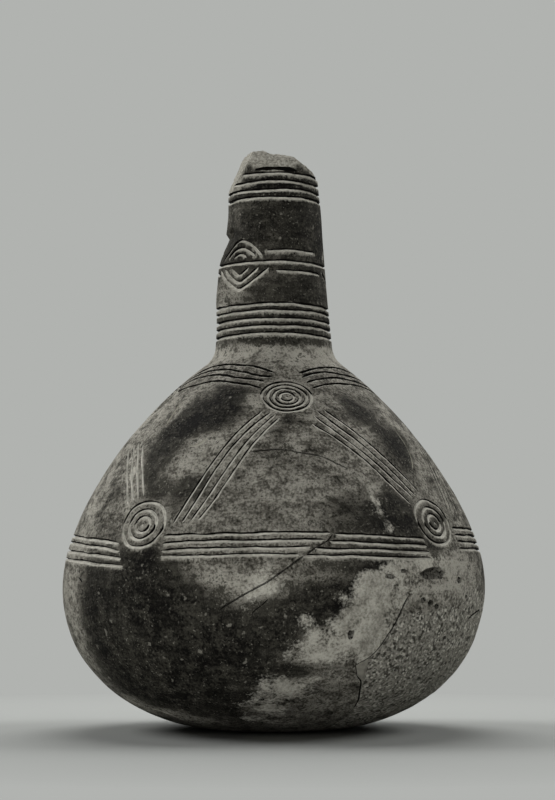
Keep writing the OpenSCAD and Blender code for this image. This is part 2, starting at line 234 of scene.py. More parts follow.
def above(name, z):
    """A closed box round the neck, from a height to over the mouth."""
    obj = primitive(bpy.ops.mesh.primitive_cube_add, name, size=1)
    low = Vector((-NECK_REACH, -NECK_REACH, z)) * MM
    high = Vector((NECK_REACH, NECK_REACH, HEIGHT + OVER)) * MM
    obj.location = (low + high) / 2
    obj.scale = high - low
    bpy.ops.object.transform_apply(location=True, rotation=False, scale=True)
    return obj


def coords(obj, kind="co"):
    """Vertex places in millimetres, or vertex normals."""
    values = np.empty(len(obj.data.vertices) * 3)
    obj.data.vertices.foreach_get(kind, values)
    values = values.reshape(-1, 3)
    return values / MM if kind == "co" else values


def shifted(obj, places):
    obj.data.vertices.foreach_set("co", (places * MM).ravel())
    obj.data.update()


def azimuth(places):
    return np.degrees(np.arctan2(places[:, 0], -places[:, 1]))


def grain(places, size, seed, octaves=3):
    """Smooth noise at each place, about -1 to 1, with lumps of the given size in millimetres."""
    shift = Vector((seed * 7.31, seed * 3.17, seed * 5.77))
    return np.array([noise.fractal(Vector(p) / size + shift, 1.0, 2.0, octaves) for p in places])


def wave(*place):
    """Smooth noise at one place, about -1 to 1."""
    return noise.noise(Vector(place))


def smooth(values, start, end):
    t = np.clip((values - start) / (end - start), 0, 1)
    return t * t * (3 - 2 * t)


# Where the skin is worn, and where a highlight is painted along the lower left edge of the base:
# [azimuth, height, half width, half height, strength] in degrees and millimetres
SOOT = [
    [-21, 135, 7, 5, 0.9], [-28, 131, 8, 6, 0.9], [-35, 127, 8, 6, 0.95], [-42, 122, 7, 5, 0.95],
    [-26, 127.5, 8, 5, 0.8], [-40, 115, 8, 4, 0.6], [-28, 98, 6, 6, 0.8], [-24, 101, 5, 4, 0.7],
    [-39, 97, 6, 5, 0.6], [-40, 108, 6, 4, 0.4], [-58, 97, 5, 4, 0.6], [-36, 71, 13, 4, 0.8],
    [-29, 39, 34, 20, 0.95], [-44, 54, 24, 15, 0.85], [-15, 35, 18, 12, 0.85], [-40, 18, 28, 12, 0.9],
    [-54, 38, 14, 18, 0.8], [-24, 58, 14, 8, 0.75], [2, 111, 10, 4, 0.45], [3, 119, 4, 3.5, 0.6],
    [6, 126, 4, 3, 0.7], [37.5, 89, 8, 7, 1], [39.4, 85.4, 7, 6, 1], [33.5, 93.7, 5, 4, 0.7],
    [25.3, 88, 10, 6, 0.55], [22, 93.6, 6, 5, 0.4], [18, 89, 6, 6, 0.35], [38.7, 133.8, 3, 2.5, 0.8],
    [41, 131, 5, 2.5, 0.95], [39.5, 126, 6, 4, 0.7], [48, 119, 5, 6, 0.6], [57, 119, 5, 5, 0.8],
    [53, 112, 5, 7, 0.9], [55, 132.5, 4, 4, 0.5], [9.7, 53.6, 13, 5, 1], [10.8, 49.3, 8, 4, 0.9],
    [1, 50.4, 9, 4, 0.8], [0, 42, 8, 7, 0.9], [15, 55, 10, 4, 0.8], [19, 58, 9, 5, 0.6],
    [25, 67, 12, 3.5, 0.65], [33, 63.8, 5, 2.5, 0.5], [6.5, 27.2, 7, 2.5, 0.8], [10.7, 20, 5, 2.5, 0.7],
    [25, 75.5, 18, 5, 0.75], [37, 77, 14, 5, 0.75], [48, 74.8, 7, 3, 0.8], [29, 71, 10, 3, 0.6],
    [0, 200, 70, 25, 0.66], [10, 178, 26, 6, 0.5], [0, 160.5, 26, 2.5, 0.6], [0, 168, 70, 7, 0.75],
    [5, 224, 60, 7, 0.75], [35.5, 86, 7, 7, 0.95], [52.3, 85.2, 9, 8, 0.75], [-47, 112, 5, 8, 0.6],
    [-43, 104, 5, 8, 0.55], [-37, 103, 7, 6, 0.4],
]
CHALK = [
    [28.7, 56, 8, 6, 0.95], [33.5, 56.5, 7, 5, 0.8], [24.8, 51, 8, 6, 0.95], [21, 49, 5, 6, 0.7],
    [26.2, 43.6, 8, 6, 0.9], [22, 44, 5, 5, 0.8], [24.5, 37, 7, 5, 0.85], [26, 34, 5, 4, 0.8],
    [18.7, 46, 4, 4, 0.6], [26.3, 62, 5, 3.5, 1], [35.5, 67, 7, 3, 0.85], [38.5, 63.8, 5, 3, 0.7],
    [44.5, 69.5, 6, 2.5, 0.8], [51, 69.5, 6, 2.5, 0.6], [13.8, 41, 7, 3, 0.8], [11.4, 36, 6, 4, 0.55],
    [4.5, 19.5, 8, 4, 0.85], [8, 47, 3.5, 2.5, 0.7], [6.6, 32.8, 7, 3, 0.55], [15, 35, 6, 4, 0.55],
    [11.4, 23.8, 5, 2, 0.5], [-2.5, 63.5, 4, 4, 0.6], [-1.6, 59, 4, 3, 0.5], [-6.2, 58, 4, 3, 0.4],
    [-9.8, 53.5, 5, 2.5, 0.3], [-3, 20, 5, 4, 0.5], [-6.4, 12.7, 7, 3, 0.4], [-1, 12.7, 6, 3, 0.4],
    [-1.7, 6.3, 12, 3, 0.4],
    [30.8, 94.5, 1.8, 3, 0.7], [31.8, 89, 1.8, 3.5, 0.7], [33.3, 84, 1.8, 3, 0.7],
    [-60, 113, 3.5, 4, 0.55], [-54, 105, 3.5, 5, 0.55], [-48.5, 97, 3.5, 4, 0.55],
]
BARE = [
    [45, 34, 36, 17, 1], [38, 20, 22, 13, 1], [66, 42, 18, 10, 0.9], [80, 34, 26, 20, 0.9],
    [20, 11, 20, 7, 0.5],
]
RUB_AND_HIGHLIGHT = [
    [-12.8, 88, 14, 6, 0.6], [7.3, 118, 5, 5, 0.5], [32, 115, 8, 6, 0.4], [32.5, 100, 4, 6, 0.5],
    [37, 122, 5, 3, 0.5], [64.6, 129, 10, 6, 0.5], [60, 105, 8, 8, 0.4], [-63, 131, 6, 6, 0.6],
    [-79, 126, 10, 12, 0.5], [-22, 117, 8, 4, 0.5], [-30.8, 107.5, 8, 5, 0.5], [-11, 134, 4, 3, 0.5],
    [58.5, 68, 14, 5, 0.8], [48, 58.7, 12, 6, 0.9], [62, 58, 10, 8, 0.6], [-70, 57, 11, 30, 0.6],
    [-56, 177, 12, 9, 0.5],
    # Painted highlight along the lower left edge of the base: [-66, 13] at the end of this line, [-52, 9]
    # and [-38, 6]. The entries at azimuth -70 and -79 make the skin paler towards the left edge.
    [-50, 130, 3, 8, 0.5], [-29, 117, 6, 2.5, 0.5], [12, 100, 22, 8, 0.3], [-66, 13, 10, 2.2, 0.9],
    [-52, 9, 12, 1.8, 0.9], [-38, 6, 10, 1.6, 0.7], [-8, 60, 12, 6, 0.75], [-16, 65, 10, 4, 0.6],
    [-70, 100, 16, 18, 0.4], [-60, 172, 10, 8, 0.25],
]


def patches(places, listed):
    """How far each place lies in the listed patches, 0 to 1."""
    az = azimuth(places)
    r = np.hypot(places[:, 0], places[:, 1])
    keep = np.ones(len(places))
    for at, z, wide, tall, strength in listed:
        across = np.radians(az - at) * r / wide
        away = across ** 2 + ((places[:, 2] - z) / tall) ** 2
        keep *= 1 - strength * np.exp(-0.7 * away)
    return 1 - keep


# The crack on the right of the front, which parts the chalky skin from the bare clay
JOIN_Z = [9.7, 17.7, 22.5, 31.8, 34.9, 44.3, 55.7, 64]
JOIN_AZ = [33, 29.5, 27.8, 27.1, 29.3, 33.1, 36.7, 40]
# Lumps that fray the edges of the patches, and broad clouds: sizes in millimetres
RAGGED = 9
BROAD = 26
# Clouds of soot at the back: depths where they start and are full, heights where they end
BACK_Y = [10, 40]
BACK_TOP = [148, 156]
# Middle and half height of the rubbed ring at the foot of the neck
COLLAR_Z = 153
COLLAR_TALL = 4.5


def wear(places):
    """How sooty, chalky, bare and rubbed the skin is at each place, 0 to 1, with painted highlight in the
    rub along the lower left edge of the base.
    """
    ragged = grain(places, RAGGED, 1)
    broad = grain(places, BROAD, 2, 2)
    z = places[:, 2]
    behind = smooth(places[:, 1], *BACK_Y) * (1 - smooth(z, *BACK_TOP))
    # The rub patches here include the painted highlight along the lower left edge of the base
    rubbed = patches(places, RUB_AND_HIGHLIGHT)
    soot = patches(places, SOOT) - 0.6 * rubbed + 0.12 * broad + 0.15 * ragged
    soot += behind * (0.3 + 0.6 * broad)
    past_join = smooth(azimuth(places) - np.interp(z, JOIN_Z, JOIN_AZ), -0.4, 0.6)
    chalk = patches(places, CHALK) * (1 + 0.4 * ragged) * (1 - 0.6 * past_join * smooth(z, 60, 54))
    bare = smooth(patches(places, BARE) + 0.25 * ragged, 0.3, 0.7) * past_join
    collar = np.exp(-((z - COLLAR_Z) / COLLAR_TALL) ** 2)
    rub_and_highlight = rubbed + collar * (0.8 + 0.4 * ragged) + 0.2 * ragged
    return {"soot": np.clip(soot - 0.5 * collar, 0, 1), "chalk": np.clip(chalk, 0, 1), "bare": bare,
            "rub_and_highlight": np.clip(rub_and_highlight, 0, 1)}


# Clay skin: spun, then shaped by hand

# Hollows, and one swelling with a depth below 0: [azimuth, height, half width, half height, depth]
DENTS = [
    [-84, 186, 16, 15, -1.3], [-92, 209, 18, 9, 1], [47, 63.5, 9, 5, 0.5], [7, 22, 3.5, 2.5, 1],
    [-25, 55, 30, 16, 0.5], [60, 105, 24, 12, 0.5], [150, 60, 40, 20, 0.8], [-140, 90, 34, 18, 0.7],
    [10, 14, 22, 9, 0.8],
]
# Patterns pressed into the skin: kind, size and depth in millimetres, and the level that stays in place
RELIEF = {
    "hand_form": ["CLOUDS", 48, 1.5, 0.5], "burnish_facets": ["CLOUDS", 13, 0.35, 1.0],
    "grits": ["VORONOI", 2.2, 0.25, 1.0], "lost_slip": ["CLOUDS", 7, 0.4, 1.0],
    "paste_wear": ["CLOUDS", 2.5, 0.4, 1.0],
}
# The gritty part, where the skin has finer faces: azimuths and heights
GRITTY_AZ = [10, 102]
GRITTY_Z = [4, 62]
# Heights over which the patterns grow from the resting face, on all the skin and on bare clay
FREE_Z = [1, 14]
BARE_Z = [2, 9]
# Round the widest level the skin is held still and drawn in: distances where this ends and is full
WIDEST = [32, 10]
WIDEST_HELD = 0.6
WIDEST_DRAWN = 0.3
# The neck swells this far between these heights
NECK_SWELL = 0.5
SWELL_Z = [160, 215]


def dented(obj, listed):
    """Press the listed hollows into the skin."""
    places = coords(obj)
    normals = coords(obj, "normal")
    for *place, depth in listed:
        fall = patches(places, [place + [1.0]])
        places -= normals * (depth * smooth(fall, 0.05, 0.9))[:, None]
    shifted(obj, places)


# The flake lost from the left side of the neck: azimuth, half width, upper edge, foot and depth
FLAKE = [-88, 42, 206, 191, 2.0]


def flake_depth(places):
    """How deep the flake is, most under its sharp upper edge and running out at its foot."""
    az, wide, top, foot, depth = FLAKE
    ragged = top + 1.2 * grain(places, 4, 21)
    run = np.clip((places[:, 2] - foot) / (top - foot), 0, 1) * (places[:, 2] < ragged)
    return depth * run * smooth(np.abs(azimuth(places) - az), wide, wide * 0.55)


def displaced(obj, name, group=""):
    """Push the skin along its normals by a pattern, all over or by the weights of a vertex group."""
    kind, size, depth, level = RELIEF[name]
    pattern = bpy.data.textures.new(name, kind)
    pattern.noise_scale = size * MM
    modified(obj, "DISPLACE", texture=pattern, texture_coords="LOCAL", direction="NORMAL",
             strength=depth * MM, mid_level=level, vertex_group=group)


def weighted(obj, name, weights):
    """Give an object a vertex group with a weight for each vertex."""
    group = obj.vertex_groups.new(name=name)
    for index in np.nonzero(weights > 0.01)[0]:
        group.add([int(index)], float(weights[index]), "REPLACE")


def clay_skin():
    """The outer face of the whole vase, closed at the top, before lines are cut into it."""
    skin = spun("clay_skin", section(0, HEIGHT, ROW), STEPS)
    places = coords(skin)
    az = azimuth(places)
    z = places[:, 2]
    gritty_part = (az > GRITTY_AZ[0]) & (az < GRITTY_AZ[1]) & (z > GRITTY_Z[0]) & (z < GRITTY_Z[1])
    activate(skin)
    bpy.ops.object.mode_set(mode="EDIT")
    bpy.ops.mesh.select_mode(type="VERT")
    bpy.ops.mesh.select_all(action="DESELECT")
    bpy.ops.object.mode_set(mode="OBJECT")
    skin.data.vertices.foreach_set("select", gritty_part)
    bpy.ops.object.mode_set(mode="EDIT")
    bpy.ops.mesh.subdivide(number_cuts=1, quadcorner="INNERVERT")
    bpy.ops.object.mode_set(mode="OBJECT")

    places = coords(skin)
    widest = smooth(np.abs(places[:, 2] - BELLY_Z), *WIDEST)
    weighted(skin, "free", smooth(places[:, 2], *FREE_Z) * (1 - WIDEST_HELD * widest))
    displaced(skin, "hand_form", "free")
    displaced(skin, "burnish_facets", "free")
    places = coords(skin)
    swelling = NECK_SWELL * smooth(places[:, 2], *SWELL_Z) - WIDEST_DRAWN * widest
    shifted(skin, places + coords(skin, "normal") * swelling[:, None])
    dented(skin, DENTS)
    places = coords(skin)
    shifted(skin, places - coords(skin, "normal") * flake_depth(places)[:, None])

    places = coords(skin)
    weighted(skin, "bare", wear(places)["bare"] * smooth(places[:, 2], *BARE_Z))
    displaced(skin, "grits", "bare")
    displaced(skin, "lost_slip", "bare")
    skin.vertex_groups.clear()
    return skin


skin = clay_skin()
skin_tree = BVHTree.FromPolygons([vertex.co for vertex in skin.data.vertices],
                                 [face.vertices for face in skin.data.polygons])
core = copied(skin, "paste_core")
displaced(core, "paste_wear")


# Cut lines, each a tube whose middle is sunk a little under the skin

def on_skin(az, z):
    """Place and normal of the skin at an azimuth and height."""
    out = Vector((sin(radians(az)), -cos(radians(az)), 0))
    start = out * RAY_START * MM + Vector((0, 0, z * MM))
    place, normal, _, _ = skin_tree.ray_cast(start, -out)
    return place, normal


def drawn(path, radius, closed=False, sink=LINE_SINK, tremble=TREMBLE, straight=False):
    """One stroke along a path of [azimuth, height] points: places in the skin, half widths, whether it is
    closed, and at each place the way out of the cut and up its wall."""
    path = np.array(path, dtype=float)
    r = np.array([skin_r(z) for z in path[:, 1]])
    across = np.radians(np.diff(path[:, 0])) * (r[1:] + r[:-1]) / 2
    run = np.concatenate([[0], np.cumsum(np.hypot(across, np.diff(path[:, 1])))])
    count = max(2, round(run[-1] / STROKE_STEP))
    at = np.linspace(0, run[-1], count + 1)
    if straight or closed or len(path) > 8:
        az, z = np.interp(at, run, path[:, 0]), np.interp(at, run, path[:, 1])
    else:
        degree = min(3, len(path) - 1)
        az = np.polyval(np.polyfit(run, path[:, 0], degree), at)
        z = np.polyval(np.polyfit(run, path[:, 1], degree), at)
    if closed:
        at, az, z = at[:-1], az[:-1], z[:-1]
    seed = path[0, 0] * 1.7 + path[0, 1] * 2.3
    places = []
    normals = []
    widths = []
    for s, a, height in zip(at, az, z):
        shake = wave(s * 0.11, seed, 0.5) * tremble * 1.6
        shake += wave(s * 0.7, seed, 6.5) * tremble * 0.5
        press = 1 + 0.2 * wave(s * 0.3, seed, 9.5)
        press += 0.32 * wave(s, seed, 4.5)
        end = 1.0 if closed else min(1.0, STROKE_END + min(s, run[-1] - s) / END_RUN)
        place, normal = on_skin(a, height + shake)
        places.append(place - normal * sink * MM)
        normals.append(normal)
        widths.append(radius * press * end)
    lifts = []
    last = len(places) - 1
    for i, normal in enumerate(normals):
        ahead = places[(i + 1) % (last + 1)] if closed else places[min(i + 1, last)]
        behind = places[i - 1] if closed else places[max(i - 1, 0)]
        side = normal.cross(ahead - behind).normalized()
        lifts.append((normal * PASTE_FLOOR + side * max(-1, min(1, 2 * side.z)) * PASTE_LIP) * MM)
    return places, widths, closed, lifts


def marked(obj, mark, amount=1.0):
    """Give a cutting tool a mark, a value on its vertices that stays on the floor of what it cuts."""
    layer = obj.data.attributes.new(mark, "FLOAT", "POINT")
    layer.data.foreach_set("value", np.full(len(obj.data.vertices), amount, dtype=np.float32))
    return obj


# The default mark paints shade: the floor that a tool cuts is coloured nearly black, as if in shadow
def tubes(name, strokes, lift=0.0, mark="cut_shade"):
    """A solid tube round each stroke, as one mesh, lifted out of the cuts by a share of the paste there."""
    curve = bpy.data.curves.new(name, "CURVE")
    curve.dimensions = "3D"
    curve.bevel_depth = MM
    curve.bevel_resolution = 2
    curve.use_fill_caps = True
    for places, widths, closed, lifts in strokes:
        spline = curve.splines.new("POLY")
        spline.points.add(len(places) - 1)
        spline.use_cyclic_u = closed
        for point, place, width, out in zip(spline.points, places, widths, lifts):
            point.co = (*(place + out * lift), 1)
            point.radius = width * (1 + ROOM_SWELL * lift)
    activate(placed(name, curve))
    bpy.ops.object.convert(target="MESH")
    obj = bpy.context.object
    edit_all()
    faced_out(weld=0.001)
    return marked(obj, mark)


# Places along the lines, for the wear of their lips, and how many are kept for each step of a stroke
line_points = []
STEP_POINTS = 4


def noted(strokes):
    """Remember where lines are cut."""
    for places, _, closed, _ in strokes:
        ends = places + places[:1] if closed else places
        for here, there in zip(ends, ends[1:]):
            line_points.extend(here.lerp(there, t / STEP_POINTS) for t in range(STEP_POINTS))
    return strokes


def turned(paths, angle):
    return [[[az + angle, z] for az, z in path] for path in paths]


def raised(paths, rise=LIP):
    return [[[az, z + rise] for az, z in path] for path in paths]


# Rings: distance of their points, share by which they wobble, half the height for the slope of the skin
RING_STEP = 1.2
RING_WOBBLE = 0.05
SLOPE_HALF = 2


def ring(az, z, wide, tall, seed):
    """Hand-cut oval ring round a point of the skin, as a path."""
    here = np.array([skin_r(z - SLOPE_HALF), z - SLOPE_HALF])
    there = np.array([skin_r(z + SLOPE_HALF), z + SLOPE_HALF])
    rise = (there - here)[1] / np.hypot(*(there - here))
    count = max(12, round(pi * (wide + tall) / RING_STEP))
    path = []
    for i in range(count + 1):
        phi = 2 * pi * (i % count) / count
        wobble = 1 + RING_WOBBLE * wave(cos(phi) * 1.6, sin(phi) * 1.6, seed)
        height = z + tall * wobble * sin(phi) * rise
        path.append([az + degrees(wide * wobble * cos(phi) / skin_r(height)), height])
    return path


# Ringed discs: azimuth, height, half width, half height, and the rings as shares of the outermost
UPPER_DISC = [6.4, 135.6, 10.2, 8.8, [1, 0.77, 0.54, 0.3]]
WAIST_DISC = [52.3, 85.2, 10.9, 10.0, [1, 0.65, 0.35]]
LEFT_WAIST_DISC = [-39.4, 84.2, 10.9, 10.0, [1, 0.65, 0.35]]
DOT_R = 1.3 * RING_R


def disc(listed, turn):
    """Strokes of a ringed disc, turned round the vase: its rings and a dot."""
    az, z, wide, tall, shares = listed
    az += turn
    strokes = []
    for share in shares:
        path = ring(az, z, wide * share, tall * share, az + 3 * share)
        strokes.append(drawn(path, RING_R, closed=True, sink=RING_SINK, tremble=0))
    strokes.append(drawn([[az - 0.4, z], [az + 0.4, z - 0.3]], DOT_R, sink=RING_SINK, tremble=0))
    return strokes


# Waist band: the lines of the front are parted at the crack that runs down through them
WAIST_Z = [79.9, 77.1, 74.3, 71.6]
LEFT_WAIST_Z = [78.9, 76.1, 72.8, 69.6]
CRACK_AT = [15.9, 14.2, 10.2, 7.0]
WAIST = {
    "front": [[[-31, z - 1.1 + 0.15 * i], [-8, z], [at - 0.6, z + 0.3]]
              for i, (z, at) in enumerate(zip(WAIST_Z, CRACK_AT))]
    + [[[at + 0.7, z - 0.2], [30, z - 0.9], [45 + i * 0.4, z - 2.0 + 0.2 * i]]
       for i, (z, at) in enumerate(zip(WAIST_Z, CRACK_AT))],
    "right": [[[61, z + 2.5], [80, z + 1.8], [105, z + 0.6], [133, z]] for z in WAIST_Z],
    "back": [[[149.5, z], [186, z + 0.6], [223, z]] for z in WAIST_Z],
    "left": [[[-120, z], [-98, z + 0.3], [-76, z], [-46.5 + i, z - 3 + 0.1 * i]]
             for i, z in enumerate(LEFT_WAIST_Z)],
}

# Shoulder band
SHOULDER_RIGHT = [
    [[17, 145.3], [39, 147.9], [64, 148.1], [85, 145.5]],
    [[17.7, 143.1], [36, 145.8], [62, 145.1], [86, 143]],
    [[19, 141], [37, 143.6], [63, 142.7], [84, 141]],
    [[21.5, 138.6], [37.6, 141.1], [66.5, 140.3], [82, 138.5]],
]
SHOULDER_LEFT = [
    [[-74, 145.5], [-38.7, 149.4], [-9.7, 147.2], [0.5, 145.4]],
    [[-74, 143.2], [-44, 147.2], [-7.6, 143.9], [-1, 143.1]],
    [[-74, 141], [-65, 143.2], [-34, 144.4], [-5.7, 141.3]],
    [[-72, 138.4], [-60, 140.2], [-43, 141.6], [-20, 140.9], [-7, 138.6]],
]
SHOULDER = {
    "front_right": SHOULDER_RIGHT,
    "back_right": turned(SHOULDER_RIGHT, 90),
    "back_left": turned(SHOULDER_RIGHT, 180),
    "front_left": SHOULDER_LEFT,
}

# Stripes that fall from the upper discs, and the one that ends at the left waist disc
LEFT_STRIPE = [
    [[-5, 129.3], [-11.7, 123.8], [-16.7, 116.6], [-21, 107.5], [-25.5, 95.7], [-28.8, 84.2]],
    [[-1, 128.7], [-4.8, 126.8], [-11.7, 119.7], [-17.9, 108.6], [-23, 94.6], [-26.2, 84.8]],
    [[1, 128.2], [-3.1, 125.3], [-7.7, 119.7], [-12.9, 111], [-20.4, 93.3], [-23.6, 85]],
    [[2.6, 126.9], [-1.3, 123.9], [-7.6, 115.2], [-14.2, 101.7], [-18.1, 92.6], [-21.3, 85.3]],
]
RIGHT_STRIPE = [
    [[15.2, 124.1], [19.3, 122], [27.1, 115.3], [35.6, 105.6], [44.6, 92]],
    [[16.9, 127.6], [21.9, 123.6], [28, 117.9], [37.5, 107.4], [46.8, 94.7]],
    [[19.1, 129.4], [25.8, 123.9], [35.9, 113.7], [44.1, 102.6], [48.4, 95.8]],
    [[22.7, 130.8], [26.3, 127.4], [38.3, 115.4], [44.1, 107.8], [50.7, 97.6]],
]
FAR_STRIPE = [
    [[-68.1, 115.3], [-59.9, 108.5], [-53.7, 100.9], [-48, 92.2]],
    [[-65, 116.9], [-56.4, 108.4], [-51, 100.5], [-46.2, 93.8]],
    [[-62.6, 117.8], [-53.2, 108.3], [-48.1, 100.8], [-44.5, 94.4]],
    [[-57.7, 116.9], [-51, 108.9], [-46.2, 102.1], [-42.7, 95.7]],
]

# The stripe beside the right waist disc is faint: its share of the width
FAINT = 0.7

# Neck: heights of the lines round it, how far each band rises in an arch, and the azimuth of the arch's top
NECK_BASE_Z = [174.5, 171.6, 168.2, 165.2, 162.0]
NECK_BASE_ARCH = 1.2
NECK_TOP_Z = [228.9, 225.6, 222.2, 218.9]
NECK_TOP_ARCH = 0.8
NECK_MIDDLE_Z = 192.2
NECK_MIDDLE_ARCH = 1.0
ARCH_AZ = 8
NECK_STEP = 6
# The two highest lines are open: where each one starts, and where both end
OPEN_FROM = [-46, -64]
OPEN_TO = 262
# Short lines over and under the middle line: where they start and end, and their heights
SHORT_AZ = [[-6, 58], [135, 176], [245, 286]]
SHORT_OVER_Z = [197.0, 197.3, 196.9]
SHORT_UNDER_Z = [188.5, 188.6, 187.9]
# Lozenges: azimuths, half widths and heights of the arches over the middle line and the vees under it
LOZENGE_AZ = {"front": -40, "right": 100, "back": 210}
ARCHES = [[28, 7.6], [19.5, 4.4], [9, 1.7]]
VEES = [[34, 9.2], [22.5, 6.3], [11.5, 3.3]]
LOZENGE_GAP = 2.0
LOZENGE_POINTS = 13


def round_neck(z, arch, start=-180, end=180):
    """Path round the neck that rises in an arch on the front."""
    path = []
    for az in np.arange(start, end + 1, NECK_STEP):
        front = max(0.0, cos(radians(az - ARCH_AZ))) ** 1.5
        path.append([az, z + arch * (front - 0.45)])
    return path


def lozenge(az):
    """Strokes of nested arches over the middle line and nested vees under it."""
    strokes = []
    for (arch_wide, arch_tall), (vee_wide, vee_tall) in zip(ARCHES, VEES):
        arch = [[az + arch_wide * u, NECK_MIDDLE_Z + LOZENGE_GAP + arch_tall * (1 - abs(u) ** 1.7)]
                for u in np.linspace(-1, 0.95, LOZENGE_POINTS)]
        vee = [[az + vee_wide * u, NECK_MIDDLE_Z - LOZENGE_GAP - vee_tall * (1 - abs(u) ** 1.3)]
               for u in np.linspace(-0.95, 1, LOZENGE_POINTS)]
        strokes.append(drawn(arch, NECK_LINE_R * 0.85))
        strokes.append(drawn(vee, NECK_LINE_R * 0.9))
    return strokes


def lines(paths, radius=LINE_R):
    return [drawn(path, radius) for path in paths]


def neck_rings(heights, arch):
    return [drawn(round_neck(z, arch), NECK_LINE_R, closed=True) for z in heights]


strokes = {}
for i, (side, corner) in enumerate(zip(SIDES, CORNERS)):
    turn = 90 * i
    strokes["waist_band_inlay_" + side] = lines(raised(WAIST[side]))
    strokes["shoulder_band_inlay_" + corner] = lines(raised(SHOULDER[corner]))
    share = FAINT if side == "right" else 1.0
    strokes["left_stripe_inlay_" + side] = lines(turned(LEFT_STRIPE, turn), STRIPE_R * share)
    right_stripe = FAR_STRIPE if side == "left" else turned(RIGHT_STRIPE, turn)
    strokes["right_stripe_inlay_" + side] = lines(right_stripe, STRIPE_R)
    strokes["upper_disc_inlay_" + side] = disc(UPPER_DISC, turn)
    waist_disc = [LEFT_WAIST_DISC, 0] if corner == "front_left" else [WAIST_DISC, turn]
    strokes["waist_disc_inlay_" + corner] = disc(*waist_disc)
open_lines = [round_neck(z, NECK_TOP_ARCH, start, OPEN_TO) for z, start in zip(NECK_TOP_Z, OPEN_FROM)]
strokes["neck_base_band_inlay"] = neck_rings(NECK_BASE_Z, NECK_BASE_ARCH)
strokes["neck_top_band_inlay"] = neck_rings(NECK_TOP_Z[2:], NECK_TOP_ARCH) + lines(open_lines, NECK_LINE_R)
strokes["neck_middle_band_inlay"] = neck_rings([NECK_MIDDLE_Z], NECK_MIDDLE_ARCH)
for side, az in LOZENGE_AZ.items():
    strokes["neck_lozenge_inlay_" + side] = lozenge(az)
for start, end in SHORT_AZ:
    middle = (start + end) / 2
    over = list(zip([start - 2, middle, end - 5], SHORT_OVER_Z))
    under = list(zip([start + 8, middle + 4, end + 3], SHORT_UNDER_Z))
    strokes["neck_middle_band_inlay"] += lines([over, under], NECK_LINE_R)

# Lines that hold no paste, dark from the painted shade on their floors: [path, half width, sink]
SCARS = [
    [[[-26, 231], [5, 231.5], [32, 230.6]], 0.95, 0.3],
    [[[-64.2, 63.2], [-61.4, 61.2]], 0.4, 0.1],
    [[[66, 46.4], [70, 48.2], [76.5, 49.8]], 0.42, 0.12],
]
# Chips and pits with a sharp rim and painted shade on their floors:
# [azimuth, height, half width, half height, depth]
CHIPS = [
    [46.6, 64.8, 8, 2.6, 2.2], [20.6, 41.3, 1.4, 2.1, 2.4], [42.3, 54.4, 1.5, 1.2, 0.9],
    [45, 53.4, 1.7, 1.3, 1.1], [47.6, 51.9, 1.4, 1.2, 0.9], [58, 62, 2, 1.4, 0.8],
    [31.3, 63.8, 2.6, 0.9, 0.8], [35.6, 66, 1.6, 0.8, 0.7], [-4.4, 15.4, 1.2, 1, 0.9],
    [54.5, 39, 1.3, 1, 0.7], [38.5, 27, 1.1, 0.9, 0.7], [62, 55.5, 1.2, 0.9, 0.6],
]
# Scratches, which show the pale clay. The last runs along the lower left edge of the base, where its pale
# floor is a painted highlight
SCRATCHES = [
    [[-32.6, 115.5], [-29, 115.7], [-25.8, 118.6]], [[-52.5, 133.8], [-51.5, 129.4], [-50.7, 124.6]],
    [[58, 122.8], [58.6, 115], [54, 106.7]],
    [[-67.9, 13.2], [-59.5, 10.3], [-51.3, 8.4], [-48, 5.8]],
]


def scoops(listed):
    """Rough ellipsoids with their middles on the skin, as one mesh."""
    made = []
    for az, z, wide, tall, depth in listed:
        place, normal = on_skin(az, z)
        side = Vector((0, 0, 1)).cross(normal).normalized()
        axes = np.array([side * wide, normal.cross(side) * tall, normal * depth])
        obj = primitive(bpy.ops.mesh.primitive_ico_sphere_add, "scoop", subdivisions=3, radius=MM,
                        location=(0, 0, 0))
        round_places = coords(obj)
        rough = 1 + 0.35 * grain(round_places, 0.8, az, 2)
        shifted(obj, np.array(place) / MM + (round_places * rough[:, None]) @ axes)
        made.append(obj)
    activate(made[0])
    for obj in made:
        obj.select_set(True)
    bpy.ops.object.join()
    # The floors of the chips carry painted shade, as dark as CHIP_SHADE
    return marked(made[0], "cut_shade", CHIP_SHADE)


scars = [drawn(path, radius, sink=sink, tremble=0) for path, radius, sink in SCARS]
scratches = [drawn(path, SCRATCH_R, sink=SCRATCH_SINK, tremble=0.1) for path in SCRATCHES]


# Sherds: their edges as [azimuth, height], roughened to broken lines

def jagged(points, amount=0.4, step=2.6):
    """An edge with points added at a step in millimetres and shaken by an amount."""
    fine = []
    for (az, z), (to_az, to_z) in zip(points, points[1:]):
        far = hypot(radians(to_az - az) * skin_r((z + to_z) / 2), to_z - z)
        count = max(1, round(far / step))
        for i in range(count):
            t = i / count
            p = Vector((az + (to_az - az) * t, z + (to_z - z) * t, 0))
            if i:
                p.x += amount * wave(p.x * 0.6, p.y * 0.6, 2.5)
                p.y += amount * 1.3 * wave(p.x * 0.6, p.y * 0.6, 7.5)
            fine.append([p.x, p.y])
    return fine + [list(points[-1])]


